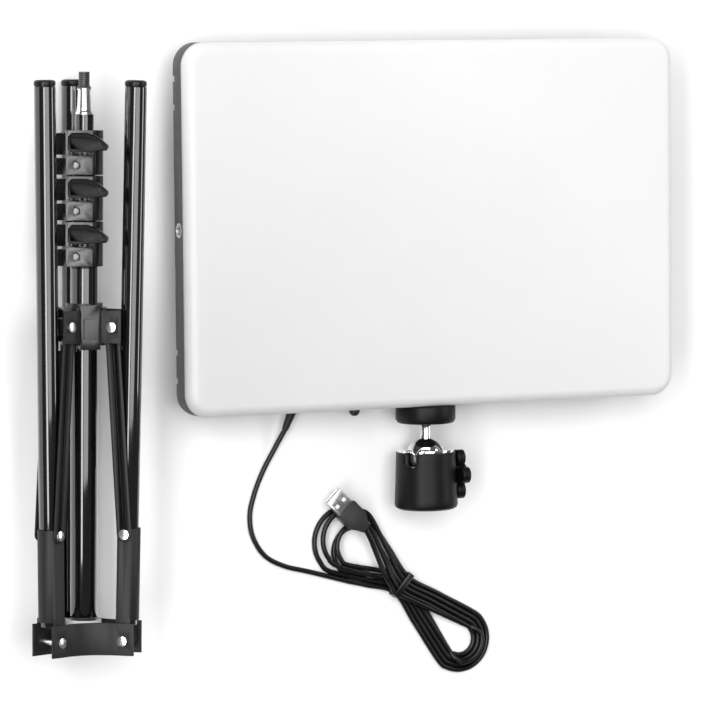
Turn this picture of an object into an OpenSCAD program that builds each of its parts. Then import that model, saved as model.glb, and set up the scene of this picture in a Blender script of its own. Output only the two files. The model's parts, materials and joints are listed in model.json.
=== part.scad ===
// LED panel lamp with a ball head and a tied USB lead, lying beside its folded stand.
// Frame: +X to the lamp's right, +Y to its top edge, +Z out of its diffuser.
// Origin: centre of the lamp's back face, on the table that everything lies on.

/* [Lamp panel] */
// Width of the lamp panel
panel_w = 330; // [326:1:334]
// Height of the lamp panel
panel_h = 223; // [221:1:225]
// Thickness of the lamp panel, back face to diffuser front
panel_t = 40; // [39:0.5:41]
// Radius of the panel's four corners
corner_r = 14; // [12:1:16]
// Radius of the diffuser's front edge
edge_r = 6.5; // [5:0.5:7]
// Depth of the raised box on the back
bump_t = 20; // [19:0.5:20]
// Height at which diffuser and rear housing meet
seam_z = 32; // [32:0.5:33]

/* [Ball head] */
// Diameter of the platform under the lamp
platform_d = 36.8; // [34:0.2:38]
// Diameter of the chrome ball
ball_d = 24.6; // [24:0.2:25]
// Diameter of the chrome stem
stem_d = 6.8; // [6:0.2:7]
// Diameter of the head's base at its foot
base_d = 38.8; // [38:0.2:40]
// Width of the tilt slot
slot_w = 9.6; // [9:0.2:10]
// Direction of the tilt slot, from straight up towards the left
slot_angle = 59; // [50:1:65]

/* [Lead] */
// Diameter of the USB lead
cord_d = 3.1; // [3:0.1:3.1]

/* [Stand] */
// Diameter of the outermost column tube
column_d = 16; // [15.9:0.1:16.1]
// Wall of the column tubes
tube_wall = 0.5; // [0.4:0.05:0.6]
// Step in diameter from one column tube to the next
tube_step = 1.6; // [1.5:0.05:1.7]
// Diameter of a leg tube
leg_d = 12.8; // [12.4:0.1:12.8]
// Length of a leg from its pivot to the top of its cap
leg_length = 328; // [320:1:330]
// Diameter of the nickel rivet heads
rivet_d = 6; // [5:0.5:6]

/* [Hidden] */
$fn = 48;
wall = 2.2;
gap = 0.3;
quarter_inch_r = 3.175;
socket_r = 3.25;

// Lamp panel
panel_bottom = -panel_h / 2;
floor_top = bump_t + wall;
bump_w = 210;
bump_top = 60;
bump_r = 12;
board_z = 24;
board_t = 1.2;
board_w = 300;
board_h = 193;
post_at = [panel_w / 2 - 9, panel_h / 2 - 8.5];
post_r = 3.5;
housing_screw_r = 1.4;
peg_at = [128, 85];
head_z = 21;
nut_r = 5.5;
nut_length = 12;
side_z = 26;
side_nut_r = 4.5;
nut_boss_r = 8.5;
side_boss_r = 5.7;
post_r = 3.5;
peg_r = 1.5;
peg_h = 5.6;
rest_r = 3;
rest_x = [-84, -4];
rest_y = -91;
rest_h = 5;
screw_hole_r = 1.6;
gland_hole_r = 2.6;
button_play = 0.2;
button_flange_r = 4.6;
button_flange_t = 1.1;
insert_r = 5;
insert_h = 10;
screw_r = 2.9;
screw_hole = screw_r + 0.05;
ring_in = 0.4;
cup_play = 0.05;
ball_play = 0.08;
ring_play = 0.15;
button_at = [-44, 12];
button_r = 3.3;
button_out = 5.7;
button_travel = 1;
gland_at = [-84, panel_bottom, 9];
vent_pitch = 7;
vent_length = 46;
vent_w = 2.4;

// Ball head, whose axis runs along Y
platform_t = 11;
ball_y = -144;
ball_r = ball_d / 2;
rim_y = ball_y + 5.1;
ring_t = 1.5;
foot_y = -175.5;
base_top_r = base_d / 2 - 1.2;
cavity_r = ball_r + 0.3;
cup_top = ball_y - 6.5;
cup_t = 8;
knob_y = -155;
facet_x = 17.8;
knob_r = 15.6;
knob_t = 5;
knob_lobes = 5;

// Lead, laid on the table
cord_r = cord_d / 2;
cord_start = [-88, -124, 6];
lead_route = [
  cord_start, [-93, -134, 3.5], [-101, -149, 1.7], [-107, -163, 1.6], [-110, -176, 1.6],
  [-108, -189, 1.6], [-100, -201, 1.6], [-87, -208, 1.6], [-72, -212, 1.6],
  [-58, -216, 1.6], [-44, -220, 1.6], [-32, -223, 1.6]
];
tail_route = [
  [-36, -188, 10.2], [-33, -193, 9.6], [-30, -199, 8.6], [-26, -208, 8], [-22, -217, 7.8],
  [-17, -224, 5.8]
];
rings_per_span = 2;
hank_at = [-9, -224];
hank_turn = -40;
hank_h = 6.4;
waist_w = 15.8;
lobe_right = [55, -2, 21];
lobe_left = [-48, -2, 22];
tie_t = 0.8;
tie_w = 4;
tie_inner_h = 7;
plug_front = [-50.5, -173.5];
plug_turn = 135;
plug_h = 7.6;
plug_z = hank_h + plug_h / 2;

// Stand, whose local Z runs up the column
stand_at = [-234, -237.4, 38];
stand_lean = 0.9;
leg_turns = [-68.6, 51.4, 171.4];
hub_pivot_r = 26;
hub_ear_r = 33;
leg_splay = 0.95;
brace_on_leg = 62.8;
slider_pivot = [19.5, 184.2];
pin_r = 1.9;
cheek_t = 1;
cheek_in = 4.2;
ear_t = 1.2;
leg_half = leg_d / 2 + cheek_t;
brace_in = leg_half + gap;
brace_out = brace_in + 1;
hub_in = leg_half + gap;
slider_in = brace_out + gap;
tube_d = [for (i = [0:3]) column_d - i * tube_step];
clamp_h = 26.7;
clamp_base = 218.8;
clamp_turn = -27;
plate_from = -9.4;
plate_w = 15.4;
plate_x = 12.4;
bolt_x = 8.2;
bolt_y = -3.9;
bolt_z = 6;
bolt_r = 1.9;
wing_z = 19.4;
wing_t = 7.4;
wing_slope = 30;
wing_crest = 12.44;
tube_top = [243, 270, 296, 307.9];
spigot_top = 324.3;
stud_top = 332.6;
leg_foot = [hub_pivot_r + brace_on_leg * sin(leg_splay), brace_on_leg * cos(leg_splay)];
brace_run = [leg_foot[0] - slider_pivot[0], slider_pivot[1] - leg_foot[1]];
brace_length = norm(brace_run);
brace_tilt = atan2(brace_run[0], brace_run[1]);

// Smooth curve through the points of a route
function spline_point(a, b, c, d, t) =
  0.5 * (2 * b + (c - a) * t + (2 * a - 5 * b + 4 * c - d) * t * t
         + (3 * b - a - 3 * c + d) * t * t * t);
function route_at(route, i) = route[max(0, min(len(route) - 1, i))];
function smooth(route) = [
  for (i = [0:len(route) - 2], k = [0:rings_per_span - 1])
    spline_point(route_at(route, i - 1), route[i], route[i + 1], route_at(route, i + 2),
                 k / rings_per_span),
  route[len(route) - 1]
];
function unit(v) = v / norm(v);
function ring_points(p, dir, r, sides) =
  let (side = unit(cross(dir, [0, 0, 1])), up = cross(side, dir))
  [for (k = [0:sides - 1])
     p + r * (cos(360 * (k + 0.5) / sides) * side + sin(360 * (k + 0.5) / sides) * up)];

module swept_tube(route, r, sides = 8) {
  path = smooth(route);
  n = len(path);
  points = [
    for (i = [0:n - 1])
      each ring_points(path[i], unit(path[min(n - 1, i + 1)] - path[max(0, i - 1)]), r, sides)
  ];
  walls = [
    for (i = [0:n - 2], k = [0:sides - 1])
      [i * sides + k, (i + 1) * sides + k, (i + 1) * sides + (k + 1) % sides,
       i * sides + (k + 1) % sides]
  ];
  first_cap = [for (k = [0:sides - 1]) k];
  last_cap = [for (k = [sides - 1:-1:0]) (n - 1) * sides + k];
  polyhedron(points, concat([first_cap], walls, [last_cap]), convexity = 10);
}

// Basic shapes
module rounded_plate(w, h, r, t) {
  linear_extrude(t) {
    square([w - 2 * r, h], center = true);
    square([w, h - 2 * r], center = true);
    for (x = [-1, 1], y = [-1, 1])
      translate([x * (w / 2 - r), y * (h / 2 - r)]) circle(r);
  }
}

module along_y(h, r1, r2) {
  rotate([-90, 0, 0]) cylinder(h = h, r1 = r1, r2 = r2);
}

module along_x(h, r) {
  rotate([0, 90, 0]) cylinder(h = h, r = r);
}

module centred_box(size) {
  translate(-size / 2) cube(size);
}

// Slab whose front edge is rounded all round
module edge_profile(reach, edge, height) {
  square([reach - edge, height]);
  square([reach, height - edge]);
  translate([reach - edge, height - edge]) intersection() {
    circle(edge);
    square(edge);
  }
}

// A plate with rounded corners whose upper edge is rounded over
module pillow(w, h, r, edge, z0, z1) {
  across = w - 2 * r;
  along = h - 2 * r;
  translate([0, 0, z0]) {
    translate([-across / 2, -along / 2, 0]) cube([across, along, z1 - z0]);
    for (side = [0, 180]) rotate(side) {
      translate([across / 2, 0, 0]) rotate([90, 0, 0])
        linear_extrude(along, center = true) edge_profile(r, edge, z1 - z0);
      translate([0, along / 2, 0]) rotate([90, 0, 90])
        linear_extrude(across, center = true) edge_profile(r, edge, z1 - z0);
      translate([across / 2, along / 2, 0])
        rotate_extrude(angle = 90) edge_profile(r, edge, z1 - z0);
      translate([across / 2, -along / 2, 0]) rotate(-90)
        rotate_extrude(angle = 90) edge_profile(r, edge, z1 - z0);
    }
  }
}

module bump_outline(inset, z0, z1) {
  h = bump_top - panel_bottom;
  translate([0, (bump_top + panel_bottom) / 2, z0])
    rounded_plate(bump_w - 2 * inset, h - 2 * inset, bump_r - inset, z1 - z0);
}

module vents() {
  for (x = [-1, 1], i = [0:5])
    translate([x * 60 - vent_length / 2, 2 + i * vent_pitch, -1])
      cube([vent_length, vent_w, wall + 2]);
}

module snap_notches() {
  for (x = [-1, 1], y = [-90, -73, 73, 90])
    translate([x * panel_w / 2, y, bump_t + 1]) centred_box([2 * wall + 2, 3.5, 2.2]);
}

module rear_housing() {
  color([0.42, 0.42, 0.43]) difference() {
    union() {
      difference() {
        union() {
          translate([0, 0, bump_t]) rounded_plate(panel_w, panel_h, corner_r, seam_z - bump_t);
          bump_outline(0, 0, bump_t + 1);
        }
        translate([0, 0, floor_top])
          rounded_plate(panel_w - 2 * wall, panel_h - 2 * wall, corner_r - wall, panel_t);
        bump_outline(wall, wall, floor_top + 1);
      }
      translate([0, panel_bottom + 0.1, head_z]) along_y(nut_length - 0.1, nut_boss_r, nut_boss_r);
      translate([-panel_w / 2 + 0.1, 0, side_z]) along_x(nut_length - 0.1, side_boss_r);
      for (x = [-1, 1], y = [-1, 1])
        translate([x * peg_at[0], y * peg_at[1], bump_t + 1]) {
          cylinder(h = board_z - bump_t - 1, r = post_r);
          cylinder(h = peg_h, r = peg_r);
        }
      for (x = rest_x)
        translate([x, rest_y, 1]) cylinder(h = rest_h, r = rest_r);
    }
    translate([0, panel_bottom - 1, head_z]) along_y(nut_length + 2, nut_r, nut_r);
    translate([-panel_w / 2 - 1, 0, side_z]) along_x(nut_length + 2, side_nut_r);
    translate([button_at[0], panel_bottom - 1, button_at[1]])
      along_y(wall + 2, button_r + button_play, button_r + button_play);
    translate([gland_at[0], panel_bottom - 1, gland_at[2]]) along_y(wall + 2, gland_hole_r, gland_hole_r);
    for (x = [-1, 1], y = [-1, 1])
      translate([x * post_at[0], y * post_at[1], bump_t - 1]) cylinder(h = 4, r = screw_hole_r);
    vents();
    snap_notches();
  }
}

module front_diffuser() {
  color([0.96, 0.96, 0.95]) {
    difference() {
      pillow(panel_w, panel_h, corner_r, edge_r, seam_z, panel_t);
      translate([0, 0, seam_z - 1])
        rounded_plate(panel_w - 9, panel_h - 9, corner_r - 4.5, panel_t - 2.5 - seam_z + 1);
    }
    for (x = [-1, 1], y = [-1, 1])
      translate([x * post_at[0], y * post_at[1], floor_top]) difference() {
        cylinder(h = panel_t - 2 - floor_top, r = post_r);
        translate([0, 0, -1]) cylinder(h = 9, r = housing_screw_r + 0.05);
      }
  }
}

module led_board() {
  color([0.9, 0.9, 0.88]) difference() {
    translate([0, 0, board_z]) rounded_plate(board_w, board_h, 4, board_t);
    for (x = [-1, 1], y = [-1, 1])
      translate([x * peg_at[0], y * peg_at[1], board_z - 1]) cylinder(h = 4, r = 1.6);
  }
}

module led_chips() {
  color([0.95, 0.9, 0.6])
    for (x = [-6:6], y = [-4:4])
      translate([x * 22, y * 20, board_z + board_t + 0.4]) centred_box([3.5, 2.8, 0.8]);
}

module control_board() {
  color([0.1, 0.35, 0.2]) {
    translate([-44, -91, 6.8]) centred_box([96, 22, 1.6]);
    translate([-62, -90, 8.4]) centred_box([9, 7, 1.6]);
    translate([-20, -90, 9.6]) centred_box([12, 10, 4]);
    for (x = [-72, -76, -80]) translate([x, -88, 7.6]) cylinder(h = 6, r = 1.6);
    translate([button_at[0], -102.5, 10]) centred_box([6, 7, 6.4]);
    translate([button_at[0], -106.6, button_at[1]]) along_y(2, 1.6, 1.6);
    translate([button_at[0], -100, 7]) centred_box([10, 8, 2]);
  }
}

module housing_screws() {
  color("silver")
    for (x = [-1, 1], y = [-1, 1])
      translate([x * post_at[0], y * post_at[1], 0]) difference() {
        union() {
          translate([0, 0, bump_t - 1.4]) cylinder(h = 1.4, r = 2.7);
          translate([0, 0, bump_t - 0.2]) cylinder(h = 9, r = housing_screw_r);
        }
        for (turn = [0, 90])
          translate([0, 0, bump_t - 1.2]) rotate(turn) centred_box([3, 0.6, 1]);
      }
}

module bottom_mount_nut() {
  color("silver") difference() {
    translate([0, panel_bottom, head_z]) along_y(nut_length, nut_r, nut_r);
    translate([0, panel_bottom - 1, head_z]) along_y(nut_length + 2, socket_r, socket_r);
  }
}

module side_mount_nut() {
  color("silver") difference() {
    translate([-panel_w / 2, 0, side_z]) along_x(nut_length, side_nut_r);
    translate([-panel_w / 2 - 1, 0, side_z]) along_x(nut_length + 2, socket_r);
  }
}

module power_button() {
  color([0.06, 0.06, 0.06]) translate([button_at[0], panel_bottom, button_at[1]]) {
    translate([0, -button_out + button_r, 0])
      along_y(button_out - button_r + wall + 1.2, button_r, button_r);
    translate([0, -button_out + button_r, 0]) sphere(button_r);
    translate([0, wall + 0.3, 0]) along_y(button_flange_t, button_flange_r, button_flange_r);
  }
}

module cord_gland() {
  run = cord_start - gland_at;
  color([0.07, 0.07, 0.07]) difference() {
    union() {
      translate(gland_at) along_y(wall, 2.6, 2.6);
      translate(gland_at + [0, wall, 0]) along_y(1.4, 4.2, 4.2);
      translate(gland_at) rotate([0, acos(run[2] / norm(run)), atan2(run[1], run[0])])
        cylinder(h = norm(run), r1 = 2.9, r2 = 1.9);
      translate(gland_at) sphere(2.9);
    }
    translate(gland_at + [-4, wall + 1.4, -4]) cube([8, 4, 8]);
    translate(gland_at + [-4, 0, -4]) difference() {
      cube([8, wall, 8]);
      translate([4, -1, 4]) along_y(wall + 2, gland_hole_r, gland_hole_r);
    }
  }
}

// Ball head
module ball_platform() {
  color([0.1, 0.1, 0.1]) translate([0, panel_bottom, head_z]) rotate([90, 0, 0])
    difference() {
      rotate_extrude() polygon([
        [0, 0.05], [platform_d / 2 - 0.6, 0.05], [platform_d / 2, 0.7],
        [platform_d / 2, 8.6], [platform_d / 2 - 1, platform_t - 0.4],
        [platform_d / 2 - 2, platform_t], [0, platform_t]
      ]);
      translate([0, 0, -1]) cylinder(h = 9, r = quarter_inch_r);
      translate([0, 0, 7]) cylinder(h = 8, r = stem_d / 2);
    }
}

module mount_screw() {
  color("silver") translate([0, panel_bottom - 8, head_z])
    along_y(8 + nut_length - 2, quarter_inch_r, quarter_inch_r);
}

module ball_stem() {
  color([0.85, 0.85, 0.87]) translate([0, 0, head_z]) {
    translate([0, ball_y, 0]) sphere(ball_r, $fn = 96);
    translate([0, ball_y, 0]) along_y(panel_bottom - 8 - ball_y, stem_d / 2, stem_d / 2);
    translate([0, ball_y + ball_r - 1, 0]) along_y(2.6, 4, stem_d / 2);
  }
}

module tilt_slot() {
  translate([0, ball_y - 1.2, head_z]) rotate([0, -slot_angle, 0]) {
    cylinder(h = 30, r = slot_w / 2);
    translate([-slot_w / 2, 0, 0]) cube([slot_w, 20, 30]);
  }
}

module head_base() {
  base_h = rim_y - ring_t - foot_y;
  color([0.11, 0.11, 0.11]) difference() {
    translate([0, rim_y - ring_t, head_z]) rotate([90, 0, 0])
      rotate_extrude($fn = 96) polygon([
        [0, 0], [base_top_r, 0], [base_d / 2, base_h - 3], [base_d / 2 - 0.6, base_h - 1.2],
        [base_d / 2 - 2.6, base_h], [0, base_h]
      ]);
    translate([0, cup_top - cup_t, head_z]) along_y(40, cavity_r, cavity_r);
    translate([0, foot_y - 1, head_z]) along_y(insert_h + 1, insert_r, insert_r);
    translate([facet_x, foot_y - 1, head_z - 30]) cube([10, 40, 60]);
    translate([8, knob_y, head_z]) along_x(20, screw_hole);
    tilt_slot();
  }
}

module friction_cup() {
  color([0.85, 0.84, 0.78]) difference() {
    translate([0, cup_top - cup_t, head_z]) along_y(cup_t, cavity_r - cup_play, cavity_r - cup_play);
    translate([0, ball_y, head_z]) sphere(ball_r + ball_play, $fn = 96);
    translate([8, knob_y, head_z]) along_x(20, screw_hole);
  }
}

module head_ring() {
  color("silver") difference() {
    translate([0, rim_y - ring_t, head_z]) along_y(ring_t, base_top_r - ring_in, base_top_r - ring_in);
    translate([0, ball_y, head_z]) sphere(ball_r + ring_play, $fn = 96);
    translate([facet_x, foot_y - 1, head_z - 30]) cube([10, 60, 60]);
    tilt_slot();
  }
}

module lock_knob() {
  color([0.09, 0.09, 0.09]) translate([facet_x + 0.5, knob_y, head_z]) difference() {
    union() {
      along_x(knob_t + 1.5, 7.4);
      for (k = [0:knob_lobes - 1])
        rotate([90 + 360 * k / knob_lobes, 0, 0]) {
          translate([0, knob_r - 5, 0]) along_x(knob_t, 5);
          translate([0, 0, -3.4]) cube([knob_t, knob_r - 5, 6.8]);
        }
    }
    translate([-1, 0, 0]) along_x(6.5, screw_r);
  }
}

module lock_screw() {
  color("silver") translate([cavity_r + 0.6, knob_y, head_z])
    along_x(facet_x + 6 - cavity_r - 0.6, screw_r);
}

module base_insert() {
  color("goldenrod") translate([0, foot_y, head_z]) difference() {
    along_y(insert_h, insert_r, insert_r);
    translate([0, -1, 0]) along_y(insert_h + 2, socket_r, socket_r);
  }
}

// Lead
module in_hank() {
  translate([hank_at[0], hank_at[1], 0]) rotate(hank_turn) children();
}

module hank_outline() {
  for (spec = [lobe_right, lobe_left]) translate([spec[0], spec[1]]) circle(spec[2]);
  polygon([
    [lobe_right[0] - 4, lobe_right[1] + lobe_right[2]], [tie_w, waist_w / 2],
    [-tie_w, waist_w / 2], [lobe_left[0] + 4, lobe_left[1] + lobe_left[2]],
    [lobe_left[0], lobe_left[1]], [lobe_left[0] + 4, lobe_left[1] - lobe_left[2]],
    [-tie_w, -waist_w / 2], [tie_w, -waist_w / 2],
    [lobe_right[0] - 4, lobe_right[1] - lobe_right[2]], [lobe_right[0], lobe_right[1]]
  ]);
}

module cord_lead() {
  color([0.05, 0.05, 0.05]) {
    swept_tube(lead_route, cord_r);
    swept_tube(tail_route, cord_r);
  }
}

module cord_hank() {
  color([0.06, 0.06, 0.06]) in_hank() difference() {
    linear_extrude(hank_h) hank_outline();
    centred_box([tie_w, 3 * waist_w, 2 * tie_t]);
  }
}

module cord_tie() {
  color([0.04, 0.04, 0.04]) in_hank() difference() {
    translate([-tie_w / 2, -waist_w / 2 - tie_t, 0])
      cube([tie_w, waist_w + 2 * tie_t, tie_inner_h + tie_t]);
    translate([-tie_w, -waist_w / 2, tie_t]) cube([2 * tie_w, waist_w, tie_inner_h - tie_t]);
  }
}

module at_plug() {
  translate([plug_front[0], plug_front[1], plug_z]) rotate(plug_turn) children();
}

module plug_body() {
  color([0.13, 0.13, 0.13]) at_plug() difference() {
    intersection() {
      translate([0, 0, -plug_h / 2]) linear_extrude(plug_h) polygon([
        [0, -6.2], [-0.8, -7], [-11.5, -7], [-17.5, -3.4], [-19.5, -2.6],
        [-19.5, 2.6], [-17.5, 3.4], [-11.5, 7], [-0.8, 7], [0, 6.2]
      ]);
      translate([0, 10, 0]) rotate([90, 0, 0]) linear_extrude(20) polygon([
        [0, -3.3], [-0.8, -plug_h / 2], [-12, -plug_h / 2], [-19.5, -2.6],
        [-19.5, 2.6], [-12, plug_h / 2], [-0.8, plug_h / 2], [0, 3.3]
      ]);
    }
    translate([-8, -6, -2.25]) cube([9, 12, 4.5]);
  }
}

module plug_shell() {
  color("silver") at_plug() difference() {
    translate([-7.5, -6, -2.25]) cube([19, 12, 4.5]);
    translate([-6.5, -5.7, -1.95]) cube([20, 11.4, 3.9]);
    for (y = [-1, 1]) translate([5, y * 3, 0]) centred_box([2.2, 2.4, 8]);
  }
}

module plug_tongue() {
  color([0.9, 0.9, 0.9]) at_plug() translate([-6.5, -5.7, 0.1]) cube([17, 11.4, 1.85]);
}

// Stand
module in_stand() {
  translate(stand_at) rotate([0, 0, -stand_lean]) rotate([-90, 0, 0]) children();
}

module at_leg(i) {
  in_stand() rotate(leg_turns[i - 1] - 90) children();
}

// Moves to a leg's pivot and tips it outwards by the splay
module on_leg(i) {
  at_leg(i) translate([hub_pivot_r, 0, 0]) rotate([0, leg_splay, 0]) children();
}

// Moves to a brace's slider pivot, with the brace running down local -Z
module on_brace(i) {
  at_leg(i) translate([slider_pivot[0], 0, slider_pivot[1]])
    rotate([0, -brace_tilt, 0]) children();
}

module across(r, from, to) {
  translate([0, from, 0]) rotate([-90, 0, 0]) cylinder(h = to - from, r = r);
}

module hollow_tube(d, z0, z1) {
  translate([0, 0, z0]) difference() {
    cylinder(h = z1 - z0, r = d / 2);
    translate([0, 0, -1]) cylinder(h = z1 - z0 + 2, r = d / 2 - tube_wall);
  }
}

// Three curved strips with straight ears that straddle the legs
module strips(inner, ear_r, centre, z0, z1) {
  rho = centre * sin(60) - inner;
  for (k = [0:2]) rotate(leg_turns[0] - 90 + 60 + 120 * k) {
    translate([0, 0, z0]) linear_extrude(z1 - z0) {
      intersection() {
        translate([centre, 0]) difference() {
          circle(rho);
          circle(rho - ear_t);
        }
        polygon([
          [0, 0], [centre * cos(60) * cos(60), centre * cos(60) * sin(60)],
          [centre, 0], [centre * cos(60) * cos(60), -centre * cos(60) * sin(60)]
        ]);
      }
      for (side = [-1, 1]) mirror([0, side < 0 ? 1 : 0]) rotate(60)
        translate([centre * cos(60) - 0.2, -inner - ear_t])
          square([ear_r - centre * cos(60) + 0.2, ear_t]);
    }
  }
}

module hub_plate() {
  color([0.16, 0.16, 0.16]) in_stand() difference() {
    strips(hub_in, hub_ear_r, 40, -8.6, 10.5);
    for (turn = leg_turns)
      rotate(turn - 90) translate([hub_pivot_r, 0, 0]) across(pin_r, -20, 20);
  }
}

module hub_core() {
  color([0.75, 0.75, 0.74]) in_stand() difference() {
    union() {
      translate([0, 0, -6]) cylinder(h = 14, r = 12.9);
      translate([0, 0, 8]) cylinder(h = 3, r = 10.4);
    }
    translate([0, 0, -4]) cylinder(h = 20, r = column_d / 2);
  }
}

module hub_rivets() {
  color("silver") in_stand()
    for (turn = leg_turns) rotate(turn - 90) translate([hub_pivot_r, 0, 0]) {
      across(pin_r, -hub_in - ear_t - 0.9, hub_in + ear_t + 0.9);
      across(rivet_d / 2, hub_in + ear_t, hub_in + ear_t + 1);
      across(rivet_d / 2, -hub_in - ear_t - 1, -hub_in - ear_t);
    }
}

module leg_tube(i) {
  color([0.05, 0.05, 0.05]) on_leg(i) hollow_tube(leg_d, 9, leg_length - 4);
}

module foot_cap(i) {
  cap_r = leg_d / 2;
  color([0.08, 0.08, 0.08]) on_leg(i) {
    translate([0, 0, leg_length - 14]) cylinder(h = 11, r = cap_r - tube_wall);
    translate([0, 0, leg_length - 3.5]) cylinder(h = 2.3, r = cap_r);
    translate([0, 0, leg_length - 1.2]) cylinder(h = 0.8, r1 = cap_r, r2 = cap_r - 0.7);
    translate([0, 0, leg_length - 0.4]) cylinder(h = 0.4, r1 = cap_r - 0.7, r2 = cap_r - 2);
  }
}

module leg_bracket(i) {
  half = leg_d / 2;
  back_from = 12;
  bracket_end = 66;
  color([0.2, 0.2, 0.2]) on_leg(i) difference() {
    union() {
      for (y = [-leg_half, half]) translate([0, y, 0]) {
        rotate([-90, 0, 0]) cylinder(h = cheek_t, r = cheek_in + 0.4);
        translate([-cheek_in, 0, 0]) cube([cheek_in + 0.3, cheek_t, bracket_end]);
        translate([-cheek_in, 0, 0]) cube([2 * cheek_in, cheek_t, back_from + 2]);
      }
      translate([0, 0, back_from]) difference() {
        cylinder(h = bracket_end - back_from, r = leg_half);
        translate([0, 0, -1]) cylinder(h = bracket_end, r = half + 0.05);
        translate([-2 * leg_half, -leg_half, -1])
          cube([2 * leg_half, 2 * leg_half, bracket_end]);
      }
    }
    across(pin_r + 0.08, -20, 20);
    translate([0, 0, brace_on_leg]) across(pin_r + 0.08, -20, 20);
  }
}

module brace(i) {
  width = 8.8;
  web_from = 46;
  color([0.18, 0.18, 0.18]) on_brace(i) difference() {
    union() {
      for (y = [-brace_out, brace_in]) translate([0, y, 0]) {
        translate([-width / 2, 0, -brace_length]) cube([width, 1, brace_length]);
        rotate([-90, 0, 0]) cylinder(h = 1, r = width / 2);
        translate([0, 0, -brace_length]) rotate([-90, 0, 0]) cylinder(h = 1, r = width / 2);
      }
      translate([-width / 2, -brace_out, -brace_length + web_from])
        cube([1, 2 * brace_out, brace_length - web_from - 14]);
    }
    across(pin_r + 0.08, -20, 20);
    translate([0, 0, -brace_length]) across(pin_r, -20, 20);
  }
}

module brace_rivets(i) {
  color("silver") on_brace(i) translate([0, 0, -brace_length]) {
    across(rivet_d / 2, brace_out, brace_out + 1);
    across(pin_r, brace_in, brace_out + 0.5);
    across(rivet_d / 2, -brace_out - 1, -brace_out);
    across(pin_r, -brace_out - 0.5, -brace_in);
  }
}

module slider_collar() {
  color([0.22, 0.22, 0.22]) in_stand() difference() {
    union() {
      translate([0, 0, 173]) cylinder(h = 22, r = 13.3);
      translate([0, 0, 195]) cylinder(h = 2.5, r = 11);
      rotate(leg_turns[0] + 60 - 90) {
        translate([8, -5.8, 171]) cube([9.4, 11.6, 26]);
        translate([8, -4.2, 177]) cube([11, 8.4, 12]);
      }
      for (turn = leg_turns)
        rotate(turn - 90) translate([10, -leg_half, 179.2]) cube([12.3, 2 * leg_half, 10]);
    }
    translate([0, 0, 160]) cylinder(h = 50, r = column_d / 2 + 0.15);
    for (turn = leg_turns)
      rotate(turn - 90) translate([slider_pivot[0], 0, slider_pivot[1]]) across(pin_r, -20, 20);
  }
}

module slider_plate() {
  color([0.2, 0.2, 0.2]) in_stand() difference() {
    strips(slider_in, 25.4, 34, 174.6, 193.8);
    rotate(leg_turns[0] + 60 - 90) translate([8, -5.8, 160]) cube([12, 11.6, 50]);
    for (turn = leg_turns)
      rotate(turn - 90) translate([slider_pivot[0], 0, slider_pivot[1]]) across(pin_r, -20, 20);
  }
}

module slider_rivets() {
  half = slider_in + ear_t;
  color("silver") in_stand()
    for (turn = leg_turns) rotate(turn - 90) translate([slider_pivot[0], 0, slider_pivot[1]]) {
      across(pin_r, -half - 0.9, half + 0.9);
      across(rivet_d / 2, half, half + 1);
      across(rivet_d / 2, -half - 1, -half);
    }
}

// Column: the outer tube, then the three that slide out of it
module main_tube() {
  color([0.05, 0.05, 0.05]) in_stand() hollow_tube(tube_d[0], -4, tube_top[0]);
}

module tube_2() {
  color([0.05, 0.05, 0.05]) in_stand() hollow_tube(tube_d[1], 14, tube_top[1]);
}

module tube_3() {
  color([0.05, 0.05, 0.05]) in_stand() hollow_tube(tube_d[2], 24, tube_top[2]);
}

module tube_4() {
  color([0.05, 0.05, 0.05]) in_stand() hollow_tube(tube_d[3], 34, tube_top[3]);
}

module spigot() {
  height = spigot_top - tube_top[3];
  color([0.85, 0.85, 0.85]) in_stand() {
    translate([0, 0, tube_top[3] - 12]) cylinder(h = 12, r = tube_d[3] / 2 - tube_wall);
    translate([0, 0, tube_top[3]]) rotate_extrude() polygon([
      [0, 0], [5, 0], [5, 0.8], [4.4, 2.2], [4.1, 5], [3.7, 12.4], [3.7, 13.8],
      [4.2, 14.1], [4.2, 15.4], [3.6, height], [0, height]
    ]);
    translate([0, 0, spigot_top - 0.1])
      cylinder(h = stud_top - spigot_top + 0.1, r = quarter_inch_r);
  }
}

// Clamp k = 1 is the top one; each holds the next tube with its knob
module at_clamp(k) {
  in_stand() translate([0, 0, clamp_base + (3 - k) * clamp_h]) rotate(clamp_turn - 90) children();
}

module clamp(k) {
  outer = tube_d[3 - k];
  next = tube_d[4 - k] / 2 + 0.15;
  step_z = tube_top[3 - k] - clamp_base - (3 - k) * clamp_h;
  color([0.2, 0.2, 0.2]) at_clamp(k) difference() {
    union() {
      translate([0, 0, 0.4]) cylinder(h = clamp_h - 0.8, r = 11.2);
      translate([0, 0, 0.4]) linear_extrude(clamp_h - 0.8)
        polygon([[-9, -9.9], [9.6, -9.9], [9.6, 6], [4, 9.4], [-9, 9.4]]);
      translate([-7, -16.8, 0.4]) cube([12, 9, 9.6]);
      translate([-7, -16, 12]) cube([12, 8, 12.6]);
      translate([0, plate_from, 0.4]) cube([plate_x, plate_w, 11.4]);
      translate([0, -8.4, 14]) cube([11.8, 14.4, clamp_h - 14.4]);
    }
    translate([0, 0, -1]) cylinder(h = clamp_h + 2, r = next);
    translate([0, 0, -1]) cylinder(h = step_z + 1.1, r = outer / 2);
    translate([plate_x - 2.4, bolt_y, bolt_z]) rotate([0, 90, 0])
      cylinder(h = 10, r = 3.3, $fn = 6);
    translate([bolt_x, bolt_y, bolt_z]) along_x(5, bolt_r + 0.05);
    translate([0, 0, wing_z]) along_x(20, 2.5);
    for (y = [-7, -3.6, 0, 3.4]) translate([7, y, 13]) along_x(8, 0.8);
  }
}

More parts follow.
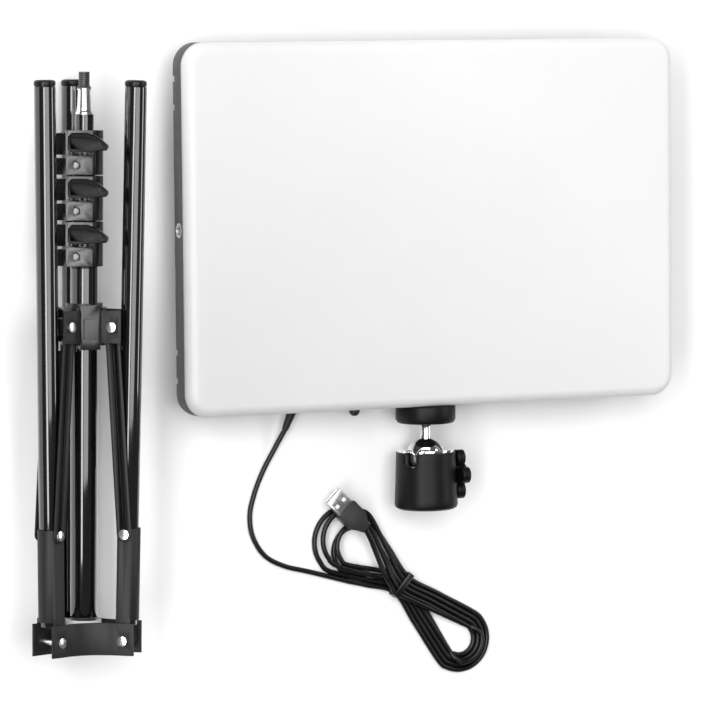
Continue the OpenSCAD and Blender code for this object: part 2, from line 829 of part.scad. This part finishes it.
module clamp_screw(k) {
  color("silver") at_clamp(k) translate([bolt_x, bolt_y, bolt_z])
    along_x(plate_x - 1.2 - bolt_x, bolt_r);
}

module wing_outline() {
  polygon([
    [-7.6, -4.4], [-7.6, 3.4], [-5.6, 5.6], [3, 5.6], [8, 4.4], [12, 1.8], [15.6, -1.4],
    [15.8, -3], [14.6, -4.6], [9, -4.8], [2, -5.4], [-6, -5.4]
  ]);
}

module wing_scoop() {
  polygon([
    [-6, -3.6], [-6, 1.6], [-4.4, 2.8], [2, 2.6], [7, 1.2], [10.4, -1.2], [11.6, -3.4],
    [2, -4.2]
  ]);
}

module clamp_knob(k) {
  color([0.14, 0.14, 0.14]) at_clamp(k) translate([12.2, 0, wing_z]) {
    along_x(3.5, 5.2);
    translate([2.6, 0, 0]) rotate([90, 0, 90]) difference() {
      linear_extrude(wing_t) wing_outline();
      translate([0, 0, 2]) linear_extrude(wing_t) wing_scoop();
      rotate([-wing_slope, 0, 0]) translate([0, 0, wing_crest]) centred_box([60, 40, 12]);
    }
    translate([-3, 0, 0]) along_x(3.1, 2.2);
  }
}

rear_housing();
front_diffuser();
led_board();
led_chips();
control_board();
housing_screws();
bottom_mount_nut();
side_mount_nut();
power_button();
cord_gland();
ball_platform();
mount_screw();
ball_stem();
head_base();
friction_cup();
head_ring();
lock_knob();
lock_screw();
base_insert();
cord_lead();
cord_hank();
cord_tie();
plug_body();
plug_shell();
plug_tongue();
main_tube();
tube_2();
tube_3();
tube_4();
spigot();
hub_plate();
hub_core();
hub_rivets();
slider_collar();
slider_plate();
slider_rivets();
clamp(1);  // clamp_1
clamp(2);  // clamp_2
clamp(3);  // clamp_3
clamp_screw(1);  // clamp_screw_1
clamp_screw(2);  // clamp_screw_2
clamp_screw(3);  // clamp_screw_3
clamp_knob(1);  // clamp_knob_1
clamp_knob(2);  // clamp_knob_2
clamp_knob(3);  // clamp_knob_3
leg_tube(1);  // leg_tube_1
leg_tube(2);  // leg_tube_2
leg_tube(3);  // leg_tube_3
leg_bracket(1);  // leg_bracket_1
leg_bracket(2);  // leg_bracket_2
leg_bracket(3);  // leg_bracket_3
foot_cap(1);  // foot_cap_1
foot_cap(2);  // foot_cap_2
foot_cap(3);  // foot_cap_3
brace(1);  // brace_1
brace(2);  // brace_2
brace(3);  // brace_3
brace_rivets(1);  // brace_rivets_1
brace_rivets(2);  // brace_rivets_2
brace_rivets(3);  // brace_rivets_3
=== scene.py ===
"""Looks of the LED panel lamp kit: materials, the tied lead, camera and studio light."""
import json
import math

import bpy
from mathutils import Matrix, Vector


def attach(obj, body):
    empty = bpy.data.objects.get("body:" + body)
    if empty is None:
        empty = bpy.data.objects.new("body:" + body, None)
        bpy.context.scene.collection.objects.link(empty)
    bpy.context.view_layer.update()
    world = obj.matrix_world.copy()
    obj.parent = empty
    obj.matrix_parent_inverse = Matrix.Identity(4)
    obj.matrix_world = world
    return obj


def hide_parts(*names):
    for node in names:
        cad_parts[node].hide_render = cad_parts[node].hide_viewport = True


MM = 0.001
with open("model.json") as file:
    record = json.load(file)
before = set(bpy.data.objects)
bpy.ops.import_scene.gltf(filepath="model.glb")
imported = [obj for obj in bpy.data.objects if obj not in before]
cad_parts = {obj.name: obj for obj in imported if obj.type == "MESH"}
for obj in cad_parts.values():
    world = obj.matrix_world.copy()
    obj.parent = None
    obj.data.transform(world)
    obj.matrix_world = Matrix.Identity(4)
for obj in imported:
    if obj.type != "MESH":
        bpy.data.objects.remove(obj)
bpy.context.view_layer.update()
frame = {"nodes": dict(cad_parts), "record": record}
scene = bpy.context.scene


# ---------------------------------------------------------------- camera
CAMERA_YAW = 25.38      # degrees to the left of the panel's normal
CAMERA_PITCH = 4.29     # degrees above it
CAMERA_ROLL = -0.53
CAMERA_DISTANCE = 2.636
CAMERA_TARGET = Vector((-0.0568, -0.0772, 0.040))
LENS_MM = 222.0


def make_camera():
    yaw, pitch, roll = (math.radians(a) for a in (CAMERA_YAW, CAMERA_PITCH, CAMERA_ROLL))
    back = Vector((-math.sin(yaw) * math.cos(pitch), math.sin(pitch),
                   math.cos(yaw) * math.cos(pitch)))
    right = Vector((0, 1, 0)).cross(back).normalized()
    up = back.cross(right)
    rolled_right = right * math.cos(roll) + up * math.sin(roll)
    rolled_up = up * math.cos(roll) - right * math.sin(roll)
    data = bpy.data.cameras.new("camera")
    data.lens = LENS_MM
    data.sensor_width = 36.0
    data.clip_start = 0.05
    data.clip_end = 20.0
    camera = bpy.data.objects.new("camera", data)
    scene.collection.objects.link(camera)
    turn = Matrix((rolled_right, rolled_up, back)).transposed().to_4x4()
    camera.matrix_world = Matrix.Translation(CAMERA_TARGET + back * CAMERA_DISTANCE) @ turn
    scene.camera = camera


make_camera()


# ---------------------------------------------------------------- node helpers
class Nodes:
    """Short names for the shader nodes that the materials are built of."""

    def __init__(self, name):
        self.material = bpy.data.materials.new(name)
        self.material.use_nodes = True
        self.tree = self.material.node_tree
        self.shader = self.tree.nodes["Principled BSDF"]
        coordinates = self.tree.nodes.new("ShaderNodeTexCoord")
        self.place = coordinates.outputs["Object"]

    def add(self, kind, **settings):
        node = self.tree.nodes.new(kind)
        for key, value in settings.items():
            setattr(node, key, value)
        return node

    def link(self, a, b):
        self.tree.links.new(a, b)

    def stretched(self, scale, turn=(0, 0, 0)):
        mapping = self.add("ShaderNodeMapping")
        mapping.inputs["Scale"].default_value = scale
        mapping.inputs["Rotation"].default_value = [math.radians(a) for a in turn]
        self.link(self.place, mapping.inputs["Vector"])
        return mapping.outputs["Vector"]

    def noise(self, scale, detail=3.0, roughness=0.5, vector=None):
        node = self.add("ShaderNodeTexNoise")
        node.inputs["Scale"].default_value = scale
        node.inputs["Detail"].default_value = detail
        node.inputs["Roughness"].default_value = roughness
        self.link(vector or self.place, node.inputs["Vector"])
        return node.outputs["Fac"]

    def cells(self, scale, feature="F1"):
        node = self.add("ShaderNodeTexVoronoi", feature=feature)
        node.inputs["Scale"].default_value = scale
        self.link(self.place, node.inputs["Vector"])
        return node.outputs["Distance"]

    def ramp(self, factor, low, high, start=0.3, end=0.7):
        node = self.add("ShaderNodeValToRGB")
        node.color_ramp.elements[0].position = start
        node.color_ramp.elements[1].position = end
        node.color_ramp.elements[0].color = (*low, 1)
        node.color_ramp.elements[1].color = (*high, 1)
        self.link(factor, node.inputs["Fac"])
        return node.outputs["Color"]

    def span(self, factor, low, high, start=0.3, end=0.7):
        node = self.add("ShaderNodeMapRange")
        for key, value in (("From Min", start), ("From Max", end), ("To Min", low),
                           ("To Max", high)):
            node.inputs[key].default_value = value
        self.link(factor, node.inputs["Value"])
        return node.outputs["Result"]

    def both(self, a, b, share=0.5):
        node = self.add("ShaderNodeMix", data_type="FLOAT")
        node.inputs["Factor"].default_value = share
        self.link(a, node.inputs["A"])
        self.link(b, node.inputs["B"])
        return node.outputs["Result"]

    def bump(self, height, strength, distance):
        node = self.add("ShaderNodeBump")
        node.inputs["Strength"].default_value = strength
        node.inputs["Distance"].default_value = distance
        self.link(height, node.inputs["Height"])
        self.link(node.outputs["Normal"], self.shader.inputs["Normal"])

    def colour(self, output):
        self.link(output, self.shader.inputs["Base Color"])

    def rough(self, output):
        self.link(output, self.shader.inputs["Roughness"])

    def fixed(self, **values):
        for key, value in values.items():
            self.shader.inputs[key.replace("_", " ")].default_value = value


def shade(base, amount):
    return tuple(max(0.0, min(1.0, c * (1 + amount))) for c in base)


# ---------------------------------------------------------------- materials
def opal(name):
    """Opal acrylic: milky, with slight density clouds, dust, a satin skin and painted light that
    brightens the colour from the lower left to the upper right.
    """
    n = Nodes(name)
    clouds = n.noise(9.0, 4.0, 0.55)
    specks = n.noise(1800.0, 2.0, 0.6)
    axes = n.add("ShaderNodeSeparateXYZ")
    n.link(n.place, axes.inputs["Vector"])
    # painted light: the colour is darker towards the lower left and lighter towards the upper
    # right, standing in for light falling from the upper right
    slope = n.add("ShaderNodeMath", operation="ADD")
    n.link(axes.outputs["X"], slope.inputs[0])
    n.link(axes.outputs["Y"], slope.inputs[1])
    painted_light_fade = n.span(slope.outputs["Value"], 0.0, 1.0, -0.26, 0.16)
    n.colour(n.ramp(n.both(clouds, painted_light_fade, 0.85), (0.565, 0.565, 0.563), (0.70, 0.70, 0.698),
                    0.1, 0.85))
    n.rough(n.span(n.both(clouds, specks), 0.34, 0.5))
    n.bump(specks, 0.08, 0.00002)
    n.fixed(Subsurface_Weight=0.25, Subsurface_Scale=0.006, IOR=1.49)
    n.shader.inputs["Subsurface Radius"].default_value = (1.0, 1.0, 1.0)
    return n.material


def moulded(name, base, rough=0.5, grain=1400.0, depth=0.00003, vary=0.18, specular=0.5):
    """Moulded plastic with a spark-eroded grain, flow clouds and worn gloss."""
    n = Nodes(name)
    grains = n.cells(grain)
    flow = n.noise(40.0, 4.0, 0.6)
    scuffs = n.noise(420.0, 5.0, 0.7, n.stretched((1.0, 0.12, 1.0), (0, 0, 25)))
    n.colour(n.ramp(n.both(flow, scuffs, 0.4), shade(base, -vary), shade(base, vary), 0.3, 0.75))
    n.rough(n.span(n.both(flow, scuffs), rough - 0.08, rough + 0.1))
    n.bump(n.both(grains, scuffs, 0.3), 0.35, depth)
    n.fixed(Specular_IOR_Level=specular)
    return n.material


def painted(name, base, rough, peel, coat=0.0, vary=0.25, specular=0.5):
    """Sprayed enamel: orange peel, fine dust and a clear gloss coat."""
    n = Nodes(name)
    peel_noise = n.noise(700.0, 2.0, 0.4)
    dust = n.noise(2600.0, 3.0, 0.7)
    clouds = n.noise(25.0, 3.0, 0.6)
    n.colour(n.ramp(n.both(clouds, dust, 0.3), shade(base, -vary), shade(base, vary), 0.3, 0.75))
    n.rough(n.span(n.both(clouds, dust, 0.35), rough, rough + 0.1))
    n.bump(peel_noise, 0.25, peel)
    n.fixed(Coat_Weight=coat, Coat_Roughness=0.06, Coat_IOR=1.5, Specular_IOR_Level=specular)
    return n.material


def metal(name, base, rough, streaks=(1.0, 1.0, 60.0), depth=0.00001):
    """Bare or plated metal with turning streaks, haze and tiny pits."""
    n = Nodes(name)
    lines = n.noise(220.0, 4.0, 0.65, n.stretched(streaks))
    haze = n.noise(90.0, 3.0, 0.55)
    pits = n.cells(900.0)
    n.colour(n.ramp(n.both(lines, haze), shade(base, -0.12), shade(base, 0.06), 0.3, 0.7))
    n.rough(n.span(n.both(lines, haze, 0.4), rough * 0.7, rough * 1.5))
    n.bump(n.both(lines, pits, 0.25), 0.2, depth)
    n.fixed(Metallic=1.0)
    return n.material


def spigot_steel(name, base, dark, thread_from):
    """Plated spigot whose threaded end, past a height in metres, is dark and ridged, with painted
    shade darkening the thread grooves against lighter crests.
    """
    n = Nodes(name)
    lines = n.noise(220.0, 4.0, 0.65, n.stretched((1.0, 60.0, 1.0)))
    axes = n.add("ShaderNodeSeparateXYZ")
    n.link(n.place, axes.inputs["Vector"])
    thread = n.span(axes.outputs["Y"], 0.0, 1.0, thread_from, thread_from + 0.0003)
    ridges = n.add("ShaderNodeTexWave", bands_direction="Y", wave_profile="TRI")
    ridges.inputs["Scale"].default_value = 250.0
    ridges.inputs["Distortion"].default_value = 0.4
    n.link(n.place, ridges.inputs["Vector"])
    plated = n.ramp(lines, shade(base, -0.12), shade(base, 0.06))
    # painted shade: the thread colour darkens in the grooves and lightens on the crests of the
    # ridges
    thread_painted_groove_shade = n.ramp(ridges.outputs["Fac"], shade(dark, -0.6), shade(dark, 0.5), 0.1, 0.9)
    mix = n.add("ShaderNodeMix", data_type="RGBA")
    n.link(thread, mix.inputs["Factor"])
    n.link(plated, mix.inputs["A"])
    n.link(thread_painted_groove_shade, mix.inputs["B"])
    n.colour(mix.outputs["Result"])
    n.rough(n.span(n.both(lines, thread, 0.6), 0.14, 0.4, 0.2, 0.8))
    height = n.add("ShaderNodeMath", operation="MULTIPLY")
    n.link(ridges.outputs["Fac"], height.inputs[0])
    n.link(thread, height.inputs[1])
    n.bump(height.outputs["Value"], 0.9, 0.0003)
    n.fixed(Metallic=1.0)
    return n.material


def rubber(name, base, rough=0.45, grain=900.0, vary=0.25, specular=0.3):
    """Soft vinyl or rubber: fine skin grain, bloom and faint mould flow."""
    n = Nodes(name)
    skin = n.noise(grain, 4.0, 0.6)
    bloom = n.noise(60.0, 3.0, 0.6)
    n.colour(n.ramp(n.both(bloom, skin, 0.3), shade(base, -vary), shade(base, vary), 0.3, 0.75))
    n.rough(n.span(n.both(bloom, skin), rough - 0.08, rough + 0.1))
    n.bump(skin, 0.3, 0.00003)
    n.fixed(Specular_IOR_Level=specular)
    return n.material


def board(name, base, track):
    """Circuit board: solder mask over tracks, seen as a faint raised grid."""
    n = Nodes(name)
    tracks = n.cells(160.0, "DISTANCE_TO_EDGE")
    cloth = n.noise(500.0, 3.0, 0.6)
    n.colour(n.ramp(tracks, track, base, 0.02, 0.08))
    n.rough(n.span(cloth, 0.3, 0.5))
    n.bump(n.both(tracks, cloth, 0.3), 0.3, 0.00005)
    return n.material


def phosphor(name, base):
    """LED packages: yellow phosphor with a grainy fill."""
    n = Nodes(name)
    grains = n.cells(2500.0)
    n.colour(n.ramp(grains, shade(base, -0.15), base, 0.1, 0.6))
    n.rough(n.span(grains, 0.35, 0.6, 0.0, 0.6))
    n.bump(grains, 0.3, 0.00003)
    return n.material


def paper(name, base):
    n = Nodes(name)
    fibres = n.noise(300.0, 6.0, 0.7)
    clouds = n.noise(3.0, 3.0, 0.5)
    n.colour(n.ramp(n.both(clouds, fibres, 0.3), shade(base, -0.01), shade(base, 0.01), 0.3, 0.7))
    n.rough(n.span(fibres, 0.85, 0.95))
    n.bump(fibres, 0.05, 0.00002)
    return n.material


def make_materials():
    return {
        "housing_grey": moulded("housing_grey", (0.075, 0.075, 0.077), 0.55, 1100.0, 0.00004,
                                vary=0.1, specular=0.35),
        "opal_white": opal("opal_white"),
        "board_white": board("board_white", (0.86, 0.86, 0.84), (0.78, 0.78, 0.76)),
        "led_yellow": phosphor("led_yellow", (0.92, 0.80, 0.36)),
        "board_green": board("board_green", (0.02, 0.16, 0.07), (0.05, 0.26, 0.12)),
        "steel": metal("steel", (0.66, 0.66, 0.67), 0.26),
        "button_black": moulded("button_black", (0.012, 0.012, 0.012), 0.38, 2000.0, 0.00002),
        "gland_black": rubber("gland_black", (0.016, 0.016, 0.016)),
        "head_black": painted("head_black", (0.0035, 0.0035, 0.0036), 0.38, 0.00003,
                              specular=0.2),
        "chrome": metal("chrome", (0.86, 0.86, 0.87), 0.05, (1.0, 30.0, 1.0), 0.000004),
        "cup_nylon": moulded("cup_nylon", (0.75, 0.73, 0.66), 0.45),
        "knob_black": moulded("knob_black", (0.003, 0.003, 0.003), 0.42, 1500.0, specular=0.2),
        "brass": metal("brass", (0.72, 0.50, 0.20), 0.24),
        "cord_black": rubber("cord_black", (0.0025, 0.0025, 0.0025), 0.3, 700.0, specular=0.35),
        "plug_black": rubber("plug_black", (0.022, 0.022, 0.0225), 0.5, 1300.0),
        "tongue_white": moulded("tongue_white", (0.80, 0.80, 0.78), 0.4),
        "gloss_black": painted("gloss_black", (0.004, 0.004, 0.0042), 0.07, 0.00001, coat=1.0),
        "plate_black": painted("plate_black", (0.012, 0.0125, 0.0125), 0.44, 0.00003,
                               specular=0.3),
        "core_grey": moulded("core_grey", (0.62, 0.62, 0.60), 0.42),
        "nickel": metal("nickel", (0.88, 0.875, 0.86), 0.2, (1.0, 1.0, 1.0)),
        "clamp_black": moulded("clamp_black", (0.008, 0.008, 0.008), 0.26, 1300.0, 0.00001,
                               specular=0.6),
        "cap_black": rubber("cap_black", (0.003, 0.003, 0.003), 0.3),
    }


MATERIALS = make_materials()
WING = moulded("wing_black", (0.002, 0.002, 0.002), 0.3, 1300.0, 0.00001, specular=0.15)
# painted shade: the clamp screws get a darkened nickel that stands in for the shade inside their
# sockets
SOCKET_SHADE_NICKEL = metal("nickel_painted_socket_shade", (0.14, 0.14, 0.14), 0.3)
THREAD_FROM = 0.0852
SPIGOT = spigot_steel("chrome_spigot", (0.9, 0.9, 0.9), (0.10, 0.10, 0.10), THREAD_FROM)


EDGE_WIDTH = 0.00025
EDGE_ANGLE = math.radians(35)
WELD_DISTANCE = 0.000004
NO_EDGE = ("front_diffuser", "cord_lead", "cord_hank")


def soften(obj, with_edge):
    """Welds the mesh's seams, and rounds its sharp edges a little where asked."""
    for polygon in obj.data.polygons:
        polygon.use_smooth = True
    weld = obj.modifiers.new("weld", "WELD")
    weld.merge_threshold = WELD_DISTANCE
    if with_edge:
        bevel = obj.modifiers.new("bevel", "BEVEL")
        bevel.width = EDGE_WIDTH
        bevel.segments = 2
        bevel.limit_method = "ANGLE"
        bevel.angle_limit = EDGE_ANGLE
        bevel.harden_normals = True
        bevel.use_clamp_overlap = True


def dress_nodes():
    """Gives each CAD node its slot's material, softened edges and smooth shading."""
    slots = {row["node"]: row["material_slot"] for row in frame["record"]["subparts"]}
    for name, obj in frame["nodes"].items():
        obj.data.materials.clear()
        material = MATERIALS[slots[name]]
        if name == "spigot":
            material = SPIGOT
        elif name.startswith("clamp_knob"):
            material = WING
        # clamp screws: darkened nickel as painted shade of their sockets
        elif name.startswith("clamp_screw"):
            material = SOCKET_SHADE_NICKEL
        obj.data.materials.append(material)
        soften(obj, name not in NO_EDGE)


dress_nodes()


# ---------------------------------------------------------------- lead, in millimetres
CORD_D = 3.1
TIE_PLACE = Vector((-9, -224))
TIE_TURN = math.radians(-40)
LEAD_ROUTE = [
    (-88, -124, 6), (-93, -134, 3.5), (-101, -149, 1.7), (-107, -163, 1.6),
    (-110, -176, 1.6), (-108, -189, 1.6), (-100, -201, 1.6), (-87, -208, 1.6),
    (-72, -212, 1.6), (-58, -216, 1.6), (-44, -220, 1.6), (-32, -223, 1.6),
]
TAIL_ROUTE = [
    (-17, -224, 5.8), (-22, -217, 7.8), (-26, -208, 8), (-30, -199, 8.6),
    (-33, -193, 9.6), (-36, -188, 10.2),
]
STRANDS = 5
LOW_TIE_Z, HIGH_TIE_Z = 2.4, 5.45
LOW_Z, HIGH_Z = 1.6, 4.7
RIGHT_CENTRE = (55.0, -2.0)
RIGHT_RADIUS = 19.2
RIGHT_PITCH = 3.15
RIGHT_SHARE, LEFT_SHARE = 0.42, 0.45      # how far towards the lobe the strands spread
LOBE_STEPS, LOBE_STEP = 9, 25             # points round a lobe, degrees between them
# centre, radius, and whether the turn stays on the high layer
LEFT_TURNS = [
    ((-47.0, -1.5), 21.0, False), ((-46.5, 1.0), 18.6, True),
    ((-38.0, -2.0), 14.6, False), ((-40.5, 0.5), 13.4, True),
]


def from_hank(u, v, z):
    c, s = math.cos(TIE_TURN), math.sin(TIE_TURN)
    return Vector((TIE_PLACE.x + u * c - v * s, TIE_PLACE.y + u * s + v * c, z))


def eased(x, start, end):
    t = max(0.0, min(1.0, (x - start) / (end - start)))
    return t * t * (3 - 2 * t)


def low_column(i):
    return (i - (STRANDS - 1) / 2) * CORD_D


def high_column(i):
    return -low_column(i)


def low_height(u):
    return LOW_TIE_Z + (LOW_Z - LOW_TIE_Z) * eased(abs(u), 3, 12)


def high_height(u, i):
    near_tie = HIGH_TIE_Z + (HIGH_Z - HIGH_TIE_Z) * eased(abs(u), 3, 12)
    return near_tie + (LOW_Z - near_tie) * eased(abs(u), 14 + 5 * i, 30 + 4 * i)


def right_pass(i):
    """Out along the low layer, round the right lobe, back along the high layer."""
    last = i == STRANDS - 1
    offset = RIGHT_PITCH * min(i, STRANDS - 2)
    cu, cv = RIGHT_CENTRE
    points = [from_hank(0, low_column(i), low_height(0))]
    near, rest = RIGHT_SHARE, 1 - RIGHT_SHARE
    spread = (cv - RIGHT_RADIUS + offset) * near + low_column(i) * rest
    points.append(from_hank(cu * near, spread, low_height(cu * near)))
    for step in range(LOBE_STEPS):
        angle = math.radians(-100 + LOBE_STEP * step)
        radius = RIGHT_RADIUS - offset
        lift = 0.0
        if last:
            inside = 1 - abs(step - 4) / 4.0
            ride_up = eased(inside, 0.0, 0.6)
            radius += ride_up * 1.5 * RIGHT_PITCH
            lift = ride_up * 2.8 + 0.6 * math.sin(math.pi * ride_up)
        points.append(from_hank(cu + radius * math.cos(angle), cv + radius * math.sin(angle),
                                LOW_Z + lift))
    spread = (cv + RIGHT_RADIUS - offset) * near + high_column(i) * rest
    points.append(from_hank(cu * near, spread, high_height(cu * near, i)))
    return points


def left_pass(i):
    """Out along the high layer, round the looser left lobe, back on the low layer."""
    (cu, cv), radius, stays_high = LEFT_TURNS[i]
    lobe_z = HIGH_Z if stays_high else LOW_Z
    points = [from_hank(0, high_column(i), high_height(0, i))]
    near, rest = LEFT_SHARE, 1 - LEFT_SHARE
    spread = (cv + radius) * near + high_column(i) * rest
    points.append(from_hank(cu * near, spread, HIGH_Z if stays_high else 4.0))
    for step in range(LOBE_STEPS):
        angle = math.radians(80 + LOBE_STEP * step)
        points.append(from_hank(cu + radius * math.cos(angle), cv + radius * math.sin(angle),
                                lobe_z))
    spread = (cv - radius) * near + low_column(i + 1) * rest
    points.append(from_hank(cu * near, spread, 3.4 if stays_high else LOW_Z))
    return points


FINE_STEP, CURVE_STEP = 0.4, 1.5


def smooth_path(points):
    """Even steps along the spline that runs through the points."""
    dense = []
    for i in range(len(points) - 1):
        a, b, c, d = (points[max(0, min(len(points) - 1, i + k))] for k in (-1, 0, 1, 2))
        pieces = max(4, int((c - b).length / FINE_STEP))
        for k in range(pieces):
            t = k / pieces
            dense.append(0.5 * (2 * b + (c - a) * t + (2 * a - 5 * b + 4 * c - d) * t * t
                                + (3 * b - a - 3 * c + d) * t ** 3))
    dense.append(points[-1])
    path, walked = [dense[0]], 0.0
    for p, q in zip(dense, dense[1:]):
        walked += (q - p).length
        if walked >= CURVE_STEP:
            path.append(q)
            walked = 0.0
    path[-1] = dense[-1]
    return path


def tube_curve(name, path, radius, material):
    data = bpy.data.curves.new(name, "CURVE")
    data.dimensions = "3D"
    data.bevel_depth = radius
    data.bevel_resolution = 5
    data.use_fill_caps = True
    spline = data.splines.new("POLY")
    spline.points.add(len(path) - 1)
    for point, place in zip(spline.points, path):
        point.co = (*(place * MM), 1)
    data.materials.append(material)
    obj = bpy.data.objects.new(name, data)
    scene.collection.objects.link(obj)
    return obj


def make_lead():
    points = [Vector(p) for p in LEAD_ROUTE]
    for i in range(STRANDS):
        points += right_pass(i)
        if i < STRANDS - 1:
            points += left_pass(i)
    points.append(from_hank(0, high_column(STRANDS - 1), HIGH_TIE_Z))
    points += [Vector(p) for p in TAIL_ROUTE]
    path = smooth_path(points)
    lead = tube_curve("usb_lead", path, CORD_D / 2 * MM, MATERIALS["cord_black"])
    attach(lead, "lamp")
    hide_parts("cord_lead", "cord_hank")


make_lead()


# ---------------------------------------------------------------- light and floor
def area_light(name, place, aim, size, watts):
    data = bpy.data.lights.new(name, "AREA")
    data.shape = "RECTANGLE"
    data.size, data.size_y = size
    data.energy = watts
    light = bpy.data.objects.new(name, data)
    back = (Vector(place) - Vector(aim)).normalized()
    side = Vector((0, 1, 0)).cross(back).normalized()
    turn = Matrix((side, back.cross(side), back)).transposed().to_4x4()
    light.matrix_world = Matrix.Translation(place) @ turn
    scene.collection.objects.link(light)


WORLD_LEVEL = 0.12
LIT_CENTRE = (-0.06, -0.07)
FLOOR_HALF, FLOOR_DROP = 6.0, 0.0002
# name, angle from the table's normal towards the right, rise towards the top, distance in
# metres, size in metres, watts
SOFTBOXES = [
    ("overhead", -10, 8, 3.2, (2.2, 2.8), 70),
    ("left", -42, 3, 2.4, (0.6, 2.8), 44),
    ("right", 55, 12, 2.6, (0.6, 2.4), 22),
    ("top", -25, 58, 2.6, (2.2, 0.6), 16),
]


def make_floor():
    mesh = bpy.data.meshes.new("floor")
    half = FLOOR_HALF
    mesh.from_pydata([(-half, -half, 0), (half, -half, 0), (half, half, 0), (-half, half, 0)],
                     [], [(0, 1, 2, 3)])
    mesh.materials.append(paper("floor_paper", (0.88, 0.88, 0.88)))
    floor = bpy.data.objects.new("floor", mesh)
    floor.location.z = -FLOOR_DROP
    scene.collection.objects.link(floor)


def make_light():
    world = bpy.data.worlds.new("studio")
    scene.world = world
    world.use_nodes = True
    background = world.node_tree.nodes["Background"]
    background.inputs["Color"].default_value = (1.0, 1.0, 1.0, 1)
    background.inputs["Strength"].default_value = WORLD_LEVEL
    for name, angle, rise, distance, size, watts in SOFTBOXES:
        across, along = math.radians(angle), math.radians(rise)
        place = (distance * math.sin(across) * math.cos(along) + LIT_CENTRE[0],
                 distance * math.sin(along) + LIT_CENTRE[1],
                 distance * math.cos(across) * math.cos(along))
        area_light(name, place, (*LIT_CENTRE, 0), size, watts)


def set_view():
    scene.view_settings.view_transform = "Standard"
    scene.view_settings.look = "None"
    scene.view_settings.exposure = 0.0
    scene.view_settings.gamma = 1.0


make_floor()
make_light()
set_view()
